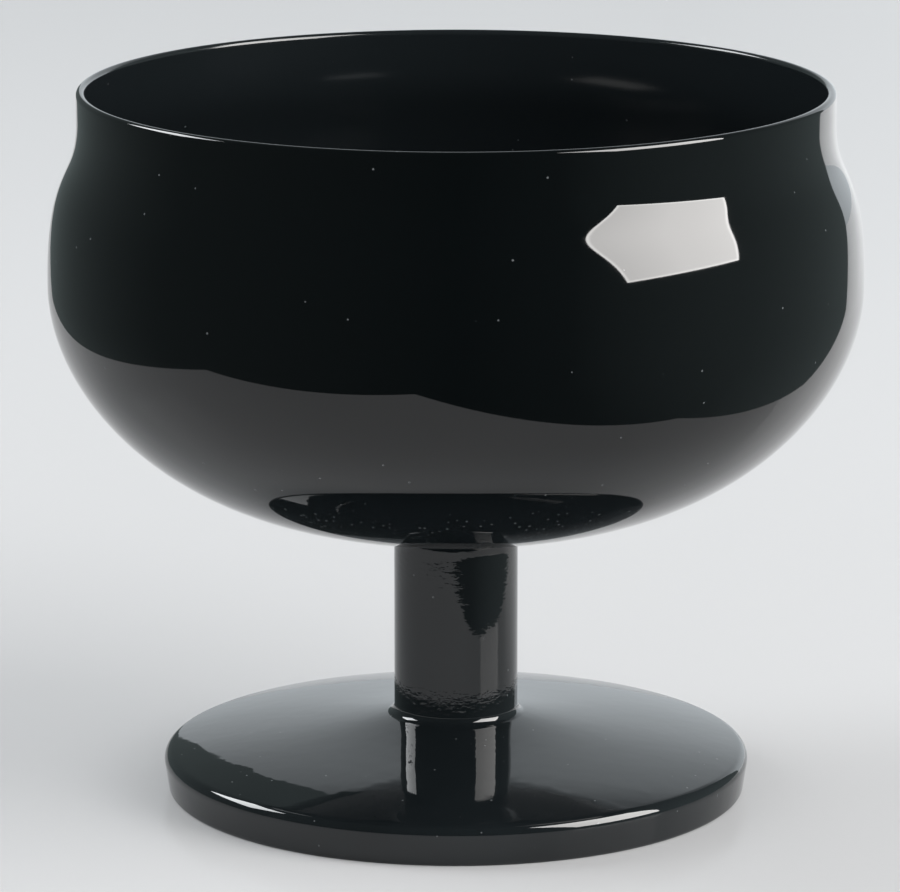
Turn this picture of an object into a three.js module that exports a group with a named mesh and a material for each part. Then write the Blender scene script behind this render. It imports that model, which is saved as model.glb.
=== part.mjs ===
import * as THREE from 'three';

// A stemmed sherbet glass in opaque black glass: a blown bowl, a solid stem and a cast foot,
// fused one on another on a common axis. Millimetres, +Z up, standing on the plane z = 0.

// Height from the table to the lip
const overallHeight = 78.4;

// Bowl, outside: a flattened round bottom, a full belly and a drawn-in neck under a straight lip
const bowlDepth = 47.9;
const bellyDiameter = 89.0;
const bellyBelowLip = 21.3;
const mouthDiameter = 82.3;
const lipBand = 3.2;

// How far each curve of the bowl follows its own tangent before it bends away
const bottomReach = 21.5;
const bellyReachDown = 12.4;
const bellyReachUp = 13.4;
const neckReach = 7.4;

// Bowl, wall: the glass thins as it is blown, from a thick floor to a fine lip
const floorWall = 3.5;
const bellyWall = 1.8;
const lipWall = 1.0;

// Stem: a plain rod that flares where it wets the underside of the bowl
const stemDiameter = 13.65;
const flareRadius = 3.4;
const flareAngle = THREE.MathUtils.degToRad(70);

// Foot: a low cone with a thick edge that leans in to the table, measured at its sharp corners,
// which are then rounded. Its top falls a little faster at the collar and at the edge than between
// them. The collar is the fillet that carries the stem.
const footDiameter = 65.0;
const footBaseDiameter = 63.7;
const footEdgeHeight = 4.35;
const footConeHeight = 8.6;
const collarSlope = THREE.MathUtils.degToRad(11.3);
const edgeSlope = THREE.MathUtils.degToRad(13);
const slopeReach = 8.0;
const footEdgeRounding = 1.2;
const footBaseRounding = 0.5;
const collarRounding = 1.0;

// Underside of the foot: a flat ring to stand on, round a shallow domed hollow
const restRingWidth = 6.0;
const hollowDepth = 2.2;

// Fineness of the facets
const flatsAround = 72;
const bendSteps = 11;
const roundingSteps = 6;

const point = (radius, height) => new THREE.Vector2(radius, height);

// Points of a cubic curve; each end leaves along its own handle
function bend(start, startHandle, endHandle, end) {
  return new THREE.CubicBezierCurve(start, startHandle, endHandle, end).getPoints(bendSteps);
}

// Points of a circular arc that starts at a point and turns about a centre
function turn(start, centre, angle) {
  const steps = Array.from({ length: roundingSteps + 1 }, (_, i) => (angle * i) / roundingSteps);
  return steps.map((step) => start.clone().rotateAround(centre, step));
}

// A point further out on a slope that falls outwards, or further in if the distance is negative
function alongSlope(start, slope, distance) {
  const way = point(Math.cos(slope), -Math.sin(slope));
  return start.clone().addScaledVector(way, distance);
}

// The arc that rounds a corner between two straight stretches, tangent to both
function roundedCorner(before, corner, after, radius) {
  const back = before.clone().sub(corner).normalize();
  const ahead = after.clone().sub(corner).normalize();
  const halfAngle = Math.acos(back.dot(ahead)) / 2;
  const start = corner.clone().addScaledVector(back, radius / Math.tan(halfAngle));
  const inward = back.clone().add(ahead).normalize();
  const centre = corner.clone().addScaledVector(inward, radius / Math.sin(halfAngle));
  const side = Math.sign(ahead.cross(back));
  return turn(start, centre, side * (Math.PI - 2 * halfAngle));
}

// A solid of revolution about Z from a half section of (radius, height) points
function revolve(name, halfSection, material) {
  const section = halfSection.filter((p, i) => i === 0 || !p.equals(halfSection[i - 1]));
  const geometry = new THREE.LatheGeometry(section, flatsAround);
  geometry.rotateX(Math.PI / 2);
  const mesh = new THREE.Mesh(geometry, material);
  mesh.name = name;
  return mesh;
}

const blackGlass = () => new THREE.MeshStandardMaterial({ color: 0x0b0c0d, roughness: 0.04, metalness: 0 });

// Foot
const stemRadius = stemDiameter / 2;
const restRingRadius = footBaseDiameter / 2 - restRingWidth;
const domeRadius = (restRingRadius ** 2 + hollowDepth ** 2) / (2 * hollowDepth);
const domeCentre = point(0, hollowDepth - domeRadius);
const domeAngle = -Math.asin(restRingRadius / domeRadius);

const ringInner = point(restRingRadius, 0);
const baseCorner = point(footBaseDiameter / 2, 0);
const edgeCorner = point(footDiameter / 2, footEdgeHeight);
const coneTop = point(stemRadius, footConeHeight);
const stemLine = point(stemRadius, overallHeight);

const edge = roundedCorner(
  baseCorner,
  edgeCorner,
  alongSlope(edgeCorner, edgeSlope, -slopeReach),
  footEdgeRounding,
);
const collar = roundedCorner(
  alongSlope(coneTop, collarSlope, slopeReach),
  coneTop,
  stemLine,
  collarRounding,
);
const topOuter = edge[roundingSteps];
const topInner = collar[0];
const stemSeatHeight = collar[roundingSteps].y;

const foot = revolve('foot', [
  ...turn(point(0, hollowDepth), domeCentre, domeAngle),
  ...roundedCorner(ringInner, baseCorner, edgeCorner, footBaseRounding),
  ...edge,
  ...bend(
    topOuter,
    alongSlope(topOuter, edgeSlope, -slopeReach),
    alongSlope(topInner, collarSlope, slopeReach),
    topInner,
  ),
  ...collar,
  point(0, stemSeatHeight),
], blackGlass());

// Stem, from the collar of the foot to the flat seat under the bowl
const bowlSeatHeight = overallHeight - bowlDepth;
const flareStart = point(stemRadius, bowlSeatHeight - flareRadius * Math.sin(flareAngle));
const flareCentre = point(stemRadius + flareRadius, flareStart.y);
const flare = turn(flareStart, flareCentre, -flareAngle);
const bowlSeatRadius = flare[roundingSteps].x;

const stem = revolve('stem', [
  point(0, stemSeatHeight),
  point(stemRadius, stemSeatHeight),
  ...flare,
  point(bowlSeatRadius, bowlSeatHeight),
  point(0, bowlSeatHeight),
], blackGlass());

// Bowl
const bellyHeight = overallHeight - bellyBelowLip;
const neckHeight = overallHeight - lipBand;

// One wall of the cup from its floor to the straight lip, inside or outside
function cupWall(floorHeight, bellyRadius, mouthRadius) {
  const floorEdge = point(bowlSeatRadius, floorHeight);
  const belly = point(bellyRadius, bellyHeight);
  const neck = point(mouthRadius, neckHeight);
  return [
    point(0, floorHeight),
    ...bend(
      floorEdge,
      point(bowlSeatRadius + bottomReach, floorHeight),
      point(bellyRadius, bellyHeight - bellyReachDown),
      belly,
    ),
    ...bend(
      belly,
      point(bellyRadius, bellyHeight + bellyReachUp),
      point(mouthRadius, neckHeight - neckReach),
      neck,
    ),
  ];
}

const bellyRadius = bellyDiameter / 2;
const mouthRadius = mouthDiameter / 2;
const lipRadius = lipWall / 2;
const lipCentre = point(mouthRadius - lipRadius, overallHeight - lipRadius);

const bowl = revolve('bowl', [
  ...cupWall(bowlSeatHeight, bellyRadius, mouthRadius),
  ...turn(point(mouthRadius, lipCentre.y), lipCentre, Math.PI),
  ...cupWall(bowlSeatHeight + floorWall, bellyRadius - bellyWall, mouthRadius - lipWall).reverse(),
], blackGlass());

const glass = new THREE.Group();
glass.add(bowl, stem, foot);

export default glass;
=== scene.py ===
import math
from types import SimpleNamespace

import bmesh
import bpy
from mathutils import Matrix, Vector
from mathutils.geometry import interpolate_bezier


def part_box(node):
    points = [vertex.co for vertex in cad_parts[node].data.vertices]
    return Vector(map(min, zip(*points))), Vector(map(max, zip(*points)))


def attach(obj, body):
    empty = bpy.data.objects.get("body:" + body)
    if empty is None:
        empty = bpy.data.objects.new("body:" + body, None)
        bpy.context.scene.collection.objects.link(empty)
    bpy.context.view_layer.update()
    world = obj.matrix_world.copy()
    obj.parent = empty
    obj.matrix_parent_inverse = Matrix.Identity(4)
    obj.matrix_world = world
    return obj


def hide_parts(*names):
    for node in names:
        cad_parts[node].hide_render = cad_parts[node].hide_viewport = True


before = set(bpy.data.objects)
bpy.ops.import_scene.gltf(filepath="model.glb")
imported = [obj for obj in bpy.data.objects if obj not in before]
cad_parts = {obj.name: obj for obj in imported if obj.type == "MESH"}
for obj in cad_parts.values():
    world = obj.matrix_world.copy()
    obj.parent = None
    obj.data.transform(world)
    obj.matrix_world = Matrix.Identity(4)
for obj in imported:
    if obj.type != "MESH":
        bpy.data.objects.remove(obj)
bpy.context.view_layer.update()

# Camera: a long lens that looks a little down on the glass from the front, from the distance
# and height that give the lip and the foot the ovals they have in the photograph.
mm = 0.001
lens_length = 233.9
camera_distance = 642.3 * mm
camera_downward = math.radians(12.856)
camera_left = 0.66 * mm
aim_height = 38.51 * mm

camera_data = bpy.data.cameras.new("camera")
camera_data.sensor_width = 36.0
camera_data.lens = lens_length
camera = bpy.data.objects.new("camera", camera_data)
camera.location = (
    -camera_left,
    -camera_distance * math.cos(camera_downward),
    aim_height + camera_distance * math.sin(camera_downward),
)
camera.rotation_euler = (math.pi / 2 - camera_downward, 0, 0)
bpy.context.scene.collection.objects.link(camera)
bpy.context.scene.camera = camera
bpy.context.scene.view_settings.view_transform = "Standard"

# Floor: pale board with a slight sheen, level with the ring that the foot stands on. It reaches far
# past the picture, so that the other views too see nothing but a plain floor behind the glass.
floor_radius = 3000 * mm
floor_shade = "#C8C8C9"
board_roughness = 0.15
board_index = 1.08


def linear(shade):
    """Linear red, green, blue and alpha of an sRGB hex colour."""
    channels = [int(shade[i:i + 2], 16) / 255 for i in (1, 3, 5)]
    return [c / 12.92 if c <= 0.04045 else ((c + 0.055) / 1.055) ** 2.4 for c in channels] + [1.0]


def add(tree, kind, inputs, **settings):
    """Add a node with its settings; an input is a number, a colour or another node's output."""
    node = tree.nodes.new(kind)
    for name, value in settings.items():
        setattr(node, name, value)
    for socket, value in inputs.items():
        if isinstance(value, bpy.types.NodeSocket):
            tree.links.new(value, node.inputs[socket])
        else:
            node.inputs[socket].default_value = value
    return node


def new_material(name):
    """An empty node material and its output node."""
    material = bpy.data.materials.new(name)
    material.use_nodes = True
    material.node_tree.nodes.clear()
    return material, material.node_tree.nodes.new("ShaderNodeOutputMaterial")


def new_object(name, shape, material):
    """Turn a finished bmesh into an object in the scene."""
    mesh = bpy.data.meshes.new(name)
    shape.to_mesh(mesh)
    shape.free()
    mesh.materials.append(material)
    made = bpy.data.objects.new(name, mesh)
    bpy.context.scene.collection.objects.link(made)
    return made


# Satin board: an even pale grey with a faint sheen, in which the foot's edge shows only weakly
board, board_output = new_material("satin_board")
board_shader = add(board.node_tree, "ShaderNodeBsdfPrincipled", {
    "Base Color": linear(floor_shade),
    "Roughness": board_roughness,
    "IOR": board_index,
})
board.node_tree.links.new(board_shader.outputs[0], board_output.inputs["Surface"])

floor_shape = bmesh.new()
bmesh.ops.create_circle(floor_shape, cap_ends=True, radius=floor_radius, segments=96)
floor = new_object("floor", floor_shape, board)
floor.visible_glossy = False

# Sheet under the glass: the part of the board that lies in the light, askew to the camera with
# one corner to the front. The black glass mirrors its outline, and the dark room beyond it.
sheet_left = -146
sheet_right = 740
sheet_back = 950
sheet_corners = [
    (-22, -126),
    (70, -40),
    (105, 45),
    (165, 134),
    (sheet_right, sheet_back),
    (sheet_left, sheet_back),
    (sheet_left, -64),
]
sheet_rise = 0.05 * mm


def flat_piece(name, corners, material):
    """A flat piece with one face, from its corners in order."""
    shape = bmesh.new()
    shape.faces.new([shape.verts.new(corner) for corner in corners])
    return new_object(name, shape, material)


sheet = flat_piece("sheet", [(x * mm, y * mm, sheet_rise) for x, y in sheet_corners], board)
sheet.visible_diffuse = False
sheet.visible_shadow = False

# Bright end: a painted sheen, a patch that glows by itself over the part of the sheet behind the glass
# on the right, in place of the board's shine where the soft box strikes it at a low angle. Only the
# right sides of the bowl and foot mirror it.
bright_from = 50
bright_full = 170
bright_corners = [
    (bright_from, 10),
    (94, 20),
    *sheet_corners[2:5],
    (bright_from, sheet_back),
]
bright_glow = 0.5
bright_rise = 0.1 * mm


def only_mirrored(thing):
    """Stage a thing that the glass mirrors, but that neither the camera nor the floor sees."""
    thing.visible_camera = False
    thing.visible_diffuse = False
    thing.visible_shadow = False


# Painted sheen: a glow that grows towards the right, over see-through, in place of the board's
# low-angle shine
painted_sheen_board, bright_output = new_material("painted_sheen_board")
place = add(painted_sheen_board.node_tree, "ShaderNodeTexCoord", {})
across = add(painted_sheen_board.node_tree, "ShaderNodeSeparateXYZ", {"Vector": place.outputs["Object"]})
shine = add(painted_sheen_board.node_tree, "ShaderNodeMapRange", {
    "Value": across.outputs["X"],
    "From Min": bright_from * mm,
    "From Max": bright_full * mm,
    "To Max": bright_glow,
})
bright_light = add(painted_sheen_board.node_tree, "ShaderNodeEmission", {"Strength": shine.outputs["Result"]})
see_through = add(painted_sheen_board.node_tree, "ShaderNodeBsdfTransparent", {})
bright_sum = add(painted_sheen_board.node_tree, "ShaderNodeAddShader", {
    0: bright_light.outputs[0],
    1: see_through.outputs[0],
})
painted_sheen_board.node_tree.links.new(bright_sum.outputs[0], bright_output.inputs["Surface"])
only_mirrored(flat_piece(
    "painted_sheen_end", [(x * mm, y * mm, bright_rise) for x, y in bright_corners], painted_sheen_board,
))

# Back card: an upright card at the far end of the sheet, which the foot's top and the sides of the
# bowl mirror.
# It is painted light: it glows by itself, fading towards its top and growing towards the soft box, as
# a pale card lit by it would.
card_left = -176
card_right = sheet_right
card_top = 900
card_corners = [
    (card_left, 0),
    (card_right, 0),
    (card_right, card_top),
    (-40, card_top),
    (-129, 605),
    (-161, 500),
    (card_left, 370),
]
card_tint = "#F2FAFF"
card_glows = [(0, 0.80), (100, 0.91), (250, 0.91), (400, 0.72), (560, 0.62), (700, 0.30)]
card_left_gain = 0.96
card_right_gain = 1.6


def set_ramp(ramp, stops):
    """Give a colour ramp these stops: a position, and a strength or an sRGB hex colour."""
    while len(ramp.elements) < len(stops):
        ramp.elements.new(0.5)
    for element, (position, shade) in zip(ramp.elements, stops):
        element.position = position
        element.color = linear(shade) if isinstance(shade, str) else (shade, shade, shade, 1)


# Painted light: the card's own glow, graded by height and towards the soft box
painted_card_glow, card_output = new_material("back_card")
place = add(painted_card_glow.node_tree, "ShaderNodeTexCoord", {})
along = add(painted_card_glow.node_tree, "ShaderNodeSeparateXYZ", {"Vector": place.outputs["Object"]})
share = add(painted_card_glow.node_tree, "ShaderNodeMapRange", {
    "Value": along.outputs["Z"],
    "From Max": card_top * mm,
})
glow = add(painted_card_glow.node_tree, "ShaderNodeValToRGB", {"Fac": share.outputs["Result"]})
set_ramp(glow.color_ramp, [(height / card_top, strength) for height, strength in card_glows])
towards_key = add(painted_card_glow.node_tree, "ShaderNodeMapRange", {
    "Value": along.outputs["X"],
    "From Min": card_left * mm,
    "From Max": card_right * mm,
    "To Min": card_left_gain,
    "To Max": card_right_gain,
})
gain = add(painted_card_glow.node_tree, "ShaderNodeMath", {
    0: glow.outputs["Color"],
    1: towards_key.outputs["Result"],
}, operation="MULTIPLY")
card_light = add(painted_card_glow.node_tree, "ShaderNodeEmission", {
    "Color": linear(card_tint),
    "Strength": gain.outputs["Value"],
})
painted_card_glow.node_tree.links.new(card_light.outputs[0], card_output.inputs["Surface"])
only_mirrored(flat_piece(
    "back_card", [(x * mm, sheet_back * mm, z * mm) for x, z in card_corners], painted_card_glow,
))

# Studio light: a large soft box to the right of the camera, a smaller and higher one on the
# left, and pale walls that fill the shadows from low down but aren't mirrored. Each soft box is a
# lamp that lights the floor and a cloth face with a bright hem, which the glass mirrors.
# The hem starts and is full at these shares of the way from the face's middle to its edge.
hem_from = 0.94
hem_full = 0.97
hem_glow = 4.5


def soft_box(name, azimuth, elevation, pitch, distance, width, height, lamp_glow, face_glows, tint):
    """A soft box round the glass. Azimuth 0 is the camera's side, and 90 degrees the right."""
    turned = Matrix.Rotation(azimuth, 4, "Z")
    away = turned @ Vector((0, -math.cos(elevation), math.sin(elevation)))
    middle = Vector((0, 0, aim_height)) + away * distance
    stand = Matrix.Translation(middle) @ turned @ Matrix.Rotation(math.pi / 2 - pitch, 4, "X")

    light = bpy.data.lights.new(name, "AREA")
    light.shape = "RECTANGLE"
    light.size = width
    light.size_y = height
    light.energy = lamp_glow * math.pi * width * height
    light.color = linear(tint)[:3]
    lamp = bpy.data.objects.new(name, light)
    lamp.matrix_world = stand
    lamp.visible_camera = False
    lamp.visible_glossy = False
    bpy.context.scene.collection.objects.link(lamp)

    cloth, cloth_output = new_material(name + "_cloth")
    place = add(cloth.node_tree, "ShaderNodeTexCoord", {})
    across = add(cloth.node_tree, "ShaderNodeSeparateXYZ", {"Vector": place.outputs["Object"]})
    glow = add(cloth.node_tree, "ShaderNodeMapRange", {
        "Value": across.outputs["X"],
        "From Min": -width / 2,
        "From Max": 0.0,
        "To Min": face_glows[0],
        "To Max": face_glows[1],
    })
    outward = add(cloth.node_tree, "ShaderNodeVectorMath", {
        0: place.outputs["Object"],
        1: (2 / width, 2 / height, 0),
    }, operation="MULTIPLY")
    from_middle = add(cloth.node_tree, "ShaderNodeVectorMath", {
        0: outward.outputs["Vector"],
    }, operation="ABSOLUTE")
    sides = add(cloth.node_tree, "ShaderNodeSeparateXYZ", {"Vector": from_middle.outputs["Vector"]})
    nearest = add(cloth.node_tree, "ShaderNodeMath", {
        0: sides.outputs["X"],
        1: sides.outputs["Y"],
    }, operation="MAXIMUM")
    hem = add(cloth.node_tree, "ShaderNodeMapRange", {
        "Value": nearest.outputs["Value"],
        "From Min": hem_from,
        "From Max": hem_full,
        "To Max": hem_glow,
    })
    hemmed = add(cloth.node_tree, "ShaderNodeMath", {
        0: glow.outputs["Result"],
        1: hem.outputs["Result"],
    })
    cloth_light = add(cloth.node_tree, "ShaderNodeEmission", {
        "Color": linear(tint),
        "Strength": hemmed.outputs["Value"],
    })
    cloth.node_tree.links.new(cloth_light.outputs[0], cloth_output.inputs["Surface"])
    face_shape = bmesh.new()
    bmesh.ops.create_grid(
        face_shape, x_segments=1, y_segments=1, size=0.5,
        matrix=Matrix.Diagonal((width, height, 1, 1)),
    )
    face = new_object(name + "_face", face_shape, cloth)
    face.matrix_world = stand
    only_mirrored(face)


soft_box(
    "right_soft_box",
    azimuth=math.radians(65.6), elevation=math.radians(30.4), pitch=math.radians(38),
    distance=700 * mm, width=515 * mm, height=540 * mm,
    lamp_glow=4.8, face_glows=(11, 13.2), tint="#FFFDFB",
)
soft_box(
    "left_soft_box",
    azimuth=math.radians(-110), elevation=math.radians(38), pitch=math.radians(38),
    distance=800 * mm, width=400 * mm, height=260 * mm,
    lamp_glow=8, face_glows=(12, 12), tint="#FAFDFF",
)

wall_tint = "#FBFDFE"
wall_glows = [(0.0, 1.64), (0.55, 1.64), (0.72, 0.25), (1.0, 0.25)]
fill = bpy.data.worlds.new("fill")
fill.use_nodes = True
sky = add(fill.node_tree, "ShaderNodeTexCoord", {})
height = add(fill.node_tree, "ShaderNodeSeparateXYZ", {"Vector": sky.outputs["Generated"]})
glow = add(fill.node_tree, "ShaderNodeValToRGB", {"Fac": height.outputs["Z"]})
set_ramp(glow.color_ramp, wall_glows)
fill_light = fill.node_tree.nodes["Background"]
fill_light.inputs["Color"].default_value = linear(wall_tint)
fill.node_tree.links.new(glow.outputs["Color"], fill_light.inputs["Strength"])
fill.cycles_visibility.glossy = False
bpy.context.scene.world = fill

# Room: the dim walls that the upper part of the bowl mirrors, darkest behind the camera and
# lighter to the sides and behind the glass.
room_radius = 2900 * mm
room_tint = "#DFF2F2"
room_glows = [(0.0, 0.12), (0.25, 0.09), (0.5, 0.06), (0.75, 0.09), (1.0, 0.27)]
room_back_glow = 0.12

walls, walls_output = new_material("dim_walls")
place = add(walls.node_tree, "ShaderNodeTexCoord", {})
across = add(walls.node_tree, "ShaderNodeSeparateXYZ", {"Vector": place.outputs["Object"]})
share = add(walls.node_tree, "ShaderNodeMapRange", {
    "Value": across.outputs["X"],
    "From Min": -room_radius,
    "From Max": room_radius,
})
glow = add(walls.node_tree, "ShaderNodeValToRGB", {"Fac": share.outputs["Result"]})
set_ramp(glow.color_ramp, room_glows)
behind = add(walls.node_tree, "ShaderNodeMapRange", {
    "Value": across.outputs["Y"],
    "From Max": room_radius,
    "To Max": room_back_glow,
})
both = add(walls.node_tree, "ShaderNodeMath", {
    0: glow.outputs["Color"],
    1: behind.outputs["Result"],
})
walls_light = add(walls.node_tree, "ShaderNodeEmission", {
    "Color": linear(room_tint),
    "Strength": both.outputs["Value"],
})
walls.node_tree.links.new(walls_light.outputs[0], walls_output.inputs["Surface"])
room_shape = bmesh.new()
bmesh.ops.create_uvsphere(room_shape, u_segments=48, v_segments=24, radius=room_radius)
only_mirrored(new_object("room", room_shape, walls))

# Bowl: a thin blown cup of opaque black soda-lime glass, with a flattened bottom, a full belly
# and a drawn-in neck. Its lip is fire-polished to a full round, and its floor is fused to the stem.
bowl_low, bowl_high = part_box("bowl")
seat_radius = 9.062 * mm
belly_height = bowl_high.z - 21.3 * mm
neck_height = bowl_high.z - 3.2 * mm
mouth_radius = 82.3 / 2 * mm
floor_wall = 3.5 * mm
belly_wall = 1.8 * mm
lip_wall = 1.0 * mm
bottom_reach = 21.5 * mm
belly_reach_down = 12.4 * mm
belly_reach_up = 13.4 * mm
neck_reach = 7.4 * mm
curve_points = 64
rounding_segments = 16
long_stretch = 2.0 * mm
step_along = 0.5 * mm
steps_around = 192
sharp_crease = math.radians(40)
merge_distance = 0.001 * mm


def draw(section, points):
    """Carry a half section on through these (radius, height) points, and return their vertices."""
    made = []
    for radius, height in points:
        section.verts.ensure_lookup_table()
        last = section.verts[-1] if len(section.verts) else None
        made.append(section.verts.new((radius, 0, height)))
        if last:
            section.edges.new((last, made[-1]))
    return made


def bend(start, start_handle, end_handle, end):
    """Points of a curve that leaves each of its ends along that end's handle."""
    knots = [Vector(p) for p in (start, start_handle, end_handle, end)]
    return [tuple(p) for p in interpolate_bezier(*knots, curve_points)]


def cup_wall(floor_height, belly_radius, mouth):
    """One wall of the cup, inside or outside, from the middle of its floor to its neck."""
    floor_edge = (seat_radius, floor_height)
    belly = (belly_radius, belly_height)
    neck = (mouth, neck_height)
    lower = bend(
        floor_edge,
        (seat_radius + bottom_reach, floor_height),
        (belly_radius, belly_height - belly_reach_down),
        belly,
    )
    upper = bend(
        belly,
        (belly_radius, belly_height + belly_reach_up),
        (mouth, neck_height - neck_reach),
        neck,
    )
    return [(0, floor_height), *lower, *upper[1:]]


def turn_round(section):
    """Spin a half section round the glass's axis and close it."""
    for edge in [e for e in section.edges if e.calc_length() > long_stretch]:
        bmesh.ops.subdivide_edges(section, edges=[edge], cuts=int(edge.calc_length() / step_along))
    everything = section.verts[:] + section.edges[:]
    bmesh.ops.spin(
        section, geom=everything, cent=(0, 0, 0), axis=(0, 0, 1),
        angle=math.tau, steps=steps_around, use_merge=True,
    )
    bmesh.ops.remove_doubles(section, verts=section.verts, dist=merge_distance)
    bmesh.ops.recalc_face_normals(section, faces=section.faces)
    for face in section.faces:
        face.smooth = True


# Black soda-lime glass: the shine runs from clean to smeared. Dust is drawn coarser than it is, so
# that it shows in the picture. A cover of 0.5 is full haze, and a cover of 1 is a speck.
body_shade = "#030506"
haze_shade = "#15191B"
speck_shade = "#5A5D5E"
full_haze = 0.5
glass_index = 1.52
clean_roughness = 0.02
smeared_roughness = 0.05
smear_size = 16 * mm
smear_from = 0.35
smear_full = 0.7
speck_spacing = 1.3 * mm
speck_radius = 0.16 * mm
speck_core = 0.6
speck_share = 0.33


def black_glass(name):
    """Opaque black soda-lime glass: a nearly black body under a hard clear shine, a little smeared
    by fingers. Over it lie a thin grey haze, which each piece places, and specks of dust."""
    material, output = new_material(name)
    tree = material.node_tree
    place = add(tree, "ShaderNodeTexCoord", {})
    smears = add(tree, "ShaderNodeTexNoise", {
        "Vector": place.outputs["Object"],
        "Scale": 1 / smear_size,
        "Detail": 3.0,
    })
    dullness = add(tree, "ShaderNodeMapRange", {
        "Value": smears.outputs["Fac"],
        "From Min": smear_from,
        "From Max": smear_full,
        "To Min": clean_roughness,
        "To Max": smeared_roughness,
    })
    dust = add(tree, "ShaderNodeTexVoronoi", {
        "Vector": place.outputs["Object"],
        "Scale": 1 / speck_spacing,
    })
    speck = add(tree, "ShaderNodeMapRange", {
        "Value": dust.outputs["Distance"],
        "From Min": speck_core * speck_radius / speck_spacing,
        "From Max": speck_radius / speck_spacing,
        "To Min": 1.0,
        "To Max": 0.0,
    })
    kept = add(tree, "ShaderNodeMath", {
        0: dust.outputs["Color"],
        1: speck_share,
    }, operation="LESS_THAN")
    fallen = add(tree, "ShaderNodeMath", {
        0: speck.outputs["Result"],
        1: kept.outputs["Value"],
    }, operation="MULTIPLY")
    cover = add(tree, "ShaderNodeMath", {0: fallen.outputs["Value"]}, operation="MAXIMUM")
    shade = add(tree, "ShaderNodeValToRGB", {"Fac": cover.outputs["Value"]})
    set_ramp(shade.color_ramp, [(0.0, body_shade), (full_haze, haze_shade), (1.0, speck_shade)])
    shader = add(tree, "ShaderNodeBsdfPrincipled", {
        "Base Color": shade.outputs["Color"],
        "Roughness": dullness.outputs["Result"],
        "IOR": glass_index,
    })
    tree.links.new(shader.outputs[0], output.inputs["Surface"])
    return SimpleNamespace(
        material=material, tree=tree, place=place, smears=smears, dullness=dullness,
        kept=kept, cover=cover, shader=shader,
    )


bowl_section = bmesh.new()
draw(bowl_section, cup_wall(bowl_low.z, bowl_high.x, mouth_radius))
lip_corners = draw(bowl_section, [
    (mouth_radius, bowl_high.z),
    (mouth_radius - lip_wall, bowl_high.z),
])
draw(bowl_section, reversed(
    cup_wall(bowl_low.z + floor_wall, bowl_high.x - belly_wall, mouth_radius - lip_wall)
))
bmesh.ops.bevel(
    bowl_section, geom=lip_corners, offset=lip_wall / 2, affect="VERTICES",
    segments=rounding_segments, profile=0.5, material=-1,
)
turn_round(bowl_section)

# Blown glass: mirror-bright on its upper outside. Its underside is hazy, with many small pale pits,
# drawn taller than they are because round ones wouldn't show at the low angle it is seen from. The
# inside is dulled by a dried film, so that lamps show there only faintly.
inside_middle = 57 * mm
haze_from = 47 * mm
haze_full = 37 * mm
pit_spacing = 0.9 * mm
pit_radius = 0.18 * mm
pit_core = 0.5
pit_stretch = (1, 1, 0.3)
pits_full = 37 * mm
pits_end = 41 * mm
pit_strength = 1.6
inside_cut = -4.0
wall_blend = 0.5 * mm
clean_speck_share = 0.18
hazy_speck_gain = 0.6
film_dulling = 0.2

blown = black_glass("blown_black_glass")
tree = blown.tree
place = blown.place
outwards = add(tree, "ShaderNodeVectorMath", {
    0: place.outputs["Object"],
    1: (0, 0, inside_middle),
}, operation="SUBTRACT")
facing = add(tree, "ShaderNodeVectorMath", {
    0: outwards.outputs["Vector"],
    1: place.outputs["Normal"],
}, operation="DOT_PRODUCT")
inside = add(tree, "ShaderNodeMapRange", {
    "Value": facing.outputs["Value"],
    "From Min": -wall_blend,
    "From Max": wall_blend,
    "To Min": full_haze,
    "To Max": 0.0,
})
level = add(tree, "ShaderNodeSeparateXYZ", {"Vector": place.outputs["Object"]})
under = add(tree, "ShaderNodeMapRange", {
    "Value": level.outputs["Z"],
    "From Min": haze_full,
    "From Max": haze_from,
    "To Min": full_haze,
    "To Max": 0.0,
})
haze = add(tree, "ShaderNodeMath", {
    0: inside.outputs["Result"],
    1: under.outputs["Result"],
}, operation="MAXIMUM")
drawn_up = add(tree, "ShaderNodeMapping", {
    "Vector": place.outputs["Object"],
    "Scale": pit_stretch,
})
pits = add(tree, "ShaderNodeTexVoronoi", {
    "Vector": drawn_up.outputs["Vector"],
    "Scale": 1 / pit_spacing,
})
pit = add(tree, "ShaderNodeMapRange", {
    "Value": pits.outputs["Distance"],
    "From Min": pit_core * pit_radius / pit_spacing,
    "From Max": pit_radius / pit_spacing,
    "To Min": 1.0,
    "To Max": 0.0,
})
near_seat = add(tree, "ShaderNodeMapRange", {
    "Value": level.outputs["Z"],
    "From Min": pits_full,
    "From Max": pits_end,
    "To Min": pit_strength,
    "To Max": 0.0,
})
# On the inside this is below 0, so that no pits show there
only_outside = add(tree, "ShaderNodeMath", {
    0: inside.outputs["Result"],
    1: inside_cut,
    2: near_seat.outputs["Result"],
}, operation="MULTIPLY_ADD")
pitted = add(tree, "ShaderNodeMath", {
    0: pit.outputs["Result"],
    1: only_outside.outputs["Value"],
}, operation="MULTIPLY")
marked = add(tree, "ShaderNodeMath", {
    0: haze.outputs["Value"],
    1: pitted.outputs["Value"],
}, operation="MAXIMUM")
tree.links.new(marked.outputs["Value"], blown.cover.inputs[1])
dusty = add(tree, "ShaderNodeMath", {
    0: under.outputs["Result"],
    1: hazy_speck_gain,
    2: clean_speck_share,
}, operation="MULTIPLY_ADD")
tree.links.new(dusty.outputs["Value"], blown.kept.inputs[1])
filmed = add(tree, "ShaderNodeMath", {
    0: inside.outputs["Result"],
    1: film_dulling,
    2: blown.dullness.outputs["Result"],
}, operation="MULTIPLY_ADD")
tree.links.new(filmed.outputs["Value"], blown.shader.inputs["Roughness"])

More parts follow.
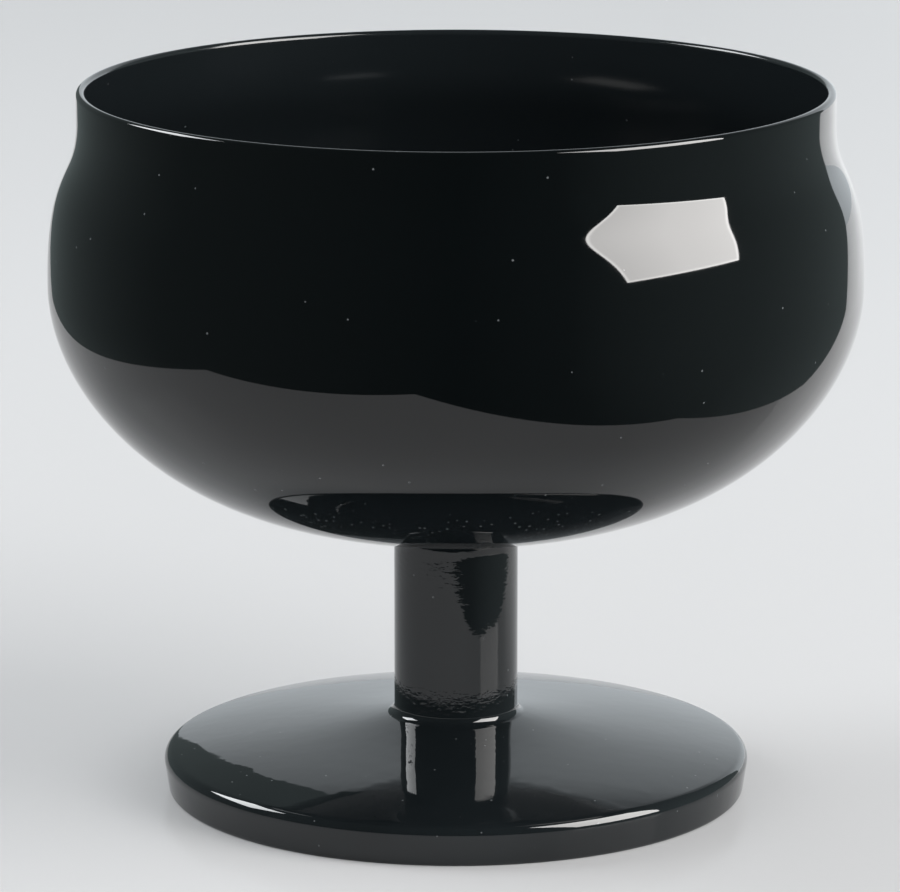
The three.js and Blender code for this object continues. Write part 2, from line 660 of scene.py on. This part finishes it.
bowl = new_object("black_bowl", bowl_section, blown.material)
bowl.data.set_sharp_from_angle(angle=sharp_crease)
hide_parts("bowl")
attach(bowl, "root")

# Stem: a short solid rod of the same glass, drawn out hot. It flares where it wets the underside
# of the bowl, and its lower end stands in the collar of the foot.
stem_low, stem_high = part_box("stem")
stem_radius = 13.65 / 2 * mm
flare_radius = 3.4 * mm
flare_angle = math.radians(70)
flare_start = stem_high.z - flare_radius * math.sin(flare_angle)

stem_section = bmesh.new()
rod = draw(stem_section, [
    (0, stem_low.z),
    (stem_radius, stem_low.z),
    (stem_radius, flare_start),
])
flare = bmesh.ops.spin(
    stem_section, geom=[rod[-1]], cent=(stem_radius + flare_radius, 0, flare_start),
    axis=(0, 1, 0), angle=flare_angle, steps=rounding_segments,
)
flare_end = next(v for v in flare["geom_last"] if isinstance(v, bmesh.types.BMVert))
stem_top = stem_section.verts.new((0, 0, stem_high.z))
stem_section.edges.new((flare_end, stem_top))
turn_round(stem_section)

# Drawn glass: hazy all over, with fine chill wrinkles where tools held it, at its two ends. They
# break up the edges of what it mirrors.
wrinkle_size = 0.9 * mm
wrinkle_depth = 0.02 * mm
wrinkle_squash = (1, 1, 2)
wrinkles_along = [(0.0, 1.0), (0.14, 0.7), (0.26, 0.1), (0.55, 0.15), (0.72, 0.8), (1.0, 0.9)]
thin_haze = 0.3
patch_from = 0.3
patch_full = 0.7


def haze_all_over(glass):
    """Lay a patchy haze over a whole piece."""
    haze = add(glass.tree, "ShaderNodeMapRange", {
        "Value": glass.smears.outputs["Fac"],
        "From Min": patch_from,
        "From Max": patch_full,
        "To Min": thin_haze,
        "To Max": full_haze,
    })
    glass.tree.links.new(haze.outputs["Result"], glass.cover.inputs[1])


drawn = black_glass("drawn_black_glass")
haze_all_over(drawn)
tree = drawn.tree
place = drawn.place
level = add(tree, "ShaderNodeSeparateXYZ", {"Vector": place.outputs["Object"]})
share = add(tree, "ShaderNodeMapRange", {
    "Value": level.outputs["Z"],
    "From Min": stem_low.z,
    "From Max": stem_high.z,
})
worked = add(tree, "ShaderNodeValToRGB", {"Fac": share.outputs["Result"]})
set_ramp(worked.color_ramp, wrinkles_along)
squashed = add(tree, "ShaderNodeMapping", {
    "Vector": place.outputs["Object"],
    "Scale": wrinkle_squash,
})
wrinkles = add(tree, "ShaderNodeTexNoise", {
    "Vector": squashed.outputs["Vector"],
    "Scale": 1 / wrinkle_size,
    "Detail": 2.0,
})
wrinkled = add(tree, "ShaderNodeBump", {
    "Strength": worked.outputs["Color"],
    "Distance": wrinkle_depth,
    "Height": wrinkles.outputs["Fac"],
})
tree.links.new(wrinkled.outputs["Normal"], drawn.shader.inputs["Normal"])

stem = new_object("black_stem", stem_section, drawn.material)
stem.data.set_sharp_from_angle(angle=sharp_crease)
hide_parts("stem")
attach(stem, "root")

# Foot: a low cone of the same glass, cast on and tooled flat while hot. Its thick edge leans in to
# the table, a collar carries the stem, and a shallow hollow leaves a ring to stand on.
foot_low, foot_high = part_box("foot")
foot_radius = 65.0 / 2 * mm
base_radius = 63.7 / 2 * mm
edge_height = 4.35 * mm
cone_height = 8.6 * mm
collar_slope = math.radians(11.3)
edge_slope = math.radians(13)
slope_reach = 8.0 * mm
edge_rounding = 1.2 * mm
base_rounding = 0.5 * mm
collar_rounding = 1.0 * mm
ring_width = 6.0 * mm
hollow_depth = 2.2 * mm

ring_inner = base_radius - ring_width
dome_radius = (ring_inner ** 2 + hollow_depth ** 2) / (2 * hollow_depth)
dome_angle = math.asin(ring_inner / dome_radius)


def round_corner(section, corner, radius):
    """Round one corner of a half section to an arc of this radius."""
    ways = [edge.other_vert(corner).co - corner.co for edge in corner.link_edges]
    bmesh.ops.bevel(
        section, geom=[corner], offset=radius / math.tan(ways[0].angle(ways[1]) / 2),
        affect="VERTICES", segments=rounding_segments, profile=0.5, material=-1,
    )


def along_slope(start, slope, distance):
    """A (radius, height) further out on a slope that falls outwards."""
    return (start[0] + distance * math.cos(slope), start[1] - distance * math.sin(slope))


# Where the roundings of the edge and the collar run out on the foot's top
edge_lean = math.atan((foot_radius - base_radius) / edge_height)
edge_run = edge_rounding / math.tan((math.pi / 2 + edge_slope - edge_lean) / 2)
collar_run = collar_rounding / math.tan((math.pi / 2 + collar_slope) / 2)
top_outer = along_slope((foot_radius, edge_height), edge_slope, -edge_run)
top_inner = along_slope((stem_radius, cone_height), collar_slope, collar_run)

foot_section = bmesh.new()
dome_top = draw(foot_section, [(0, hollow_depth)])
dome = bmesh.ops.spin(
    foot_section, geom=dome_top, cent=(0, 0, hollow_depth - dome_radius),
    axis=(0, 1, 0), angle=dome_angle, steps=curve_points,
)
ring_edge = next(v for v in dome["geom_last"] if isinstance(v, bmesh.types.BMVert))
base_corner = foot_section.verts.new((base_radius, 0, foot_low.z))
foot_section.edges.new((ring_edge, base_corner))
(edge_corner,) = draw(foot_section, [(foot_radius, edge_height)])
draw(foot_section, bend(
    top_outer,
    along_slope(top_outer, edge_slope, -slope_reach),
    along_slope(top_inner, collar_slope, slope_reach),
    top_inner,
))
(collar_corner,) = draw(foot_section, [(stem_radius, cone_height)])
draw(foot_section, [(stem_radius, foot_high.z), (0, foot_high.z)])
round_corner(foot_section, base_corner, base_rounding)
round_corner(foot_section, edge_corner, edge_rounding)
round_corner(foot_section, collar_corner, collar_rounding)
turn_round(foot_section)

# Tooled glass: hazy all over, with slight ripples left by the tool that flattened it. The ring it
# stands on is worn dull.
ripple_size = 2.4 * mm
ripple_depth = 0.012 * mm
worn_height = 0.3 * mm
worn_dulling = 0.3

tooled = black_glass("tooled_black_glass")
haze_all_over(tooled)
tree = tooled.tree
place = tooled.place
level = add(tree, "ShaderNodeSeparateXYZ", {"Vector": place.outputs["Object"]})
worn = add(tree, "ShaderNodeMapRange", {
    "Value": level.outputs["Z"],
    "From Max": worn_height,
    "To Min": worn_dulling,
    "To Max": 0.0,
})
dulled = add(tree, "ShaderNodeMath", {
    0: worn.outputs["Result"],
    1: tooled.dullness.outputs["Result"],
})
tree.links.new(dulled.outputs["Value"], tooled.shader.inputs["Roughness"])
ripples = add(tree, "ShaderNodeTexNoise", {
    "Vector": place.outputs["Object"],
    "Scale": 1 / ripple_size,
    "Detail": 1.0,
})
rippled = add(tree, "ShaderNodeBump", {
    "Strength": 1.0,
    "Distance": ripple_depth,
    "Height": ripples.outputs["Fac"],
})
tree.links.new(rippled.outputs["Normal"], tooled.shader.inputs["Normal"])

foot = new_object("black_foot", foot_section, tooled.material)
foot.data.set_sharp_from_angle(angle=sharp_crease)
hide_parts("foot")
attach(foot, "root")
